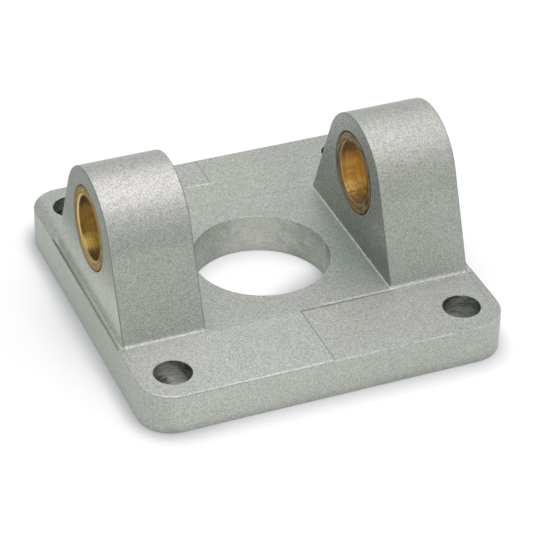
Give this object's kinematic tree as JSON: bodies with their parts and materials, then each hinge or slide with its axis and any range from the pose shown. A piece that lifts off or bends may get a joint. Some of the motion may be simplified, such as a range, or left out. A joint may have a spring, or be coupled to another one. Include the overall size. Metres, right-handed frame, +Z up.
{
  "type": "female trunnion mount",
  "caption": "Square cast aluminium base with bushed fork ears that hinge the rear end of a pneumatic cylinder on a pin.",
  "frame": {"origin": "centre of the plate's base face", "axes": "+X along the pin bore from the left ear to the right ear, +Z up from the base towards the ears, -Y is the front of the picture"},
  "size_m": [0.175, 0.175, 0.0835],
  "materials": {
    "cast_aluminium": "shot-blasted casting with machined faces",
    "bronze": "turned bronze"
  },
  "bodies": {
    "root": {"clevis_body": "cast_aluminium", "left_bush": "bronze", "right_bush": "bronze"}
  },
  "joints": []
}
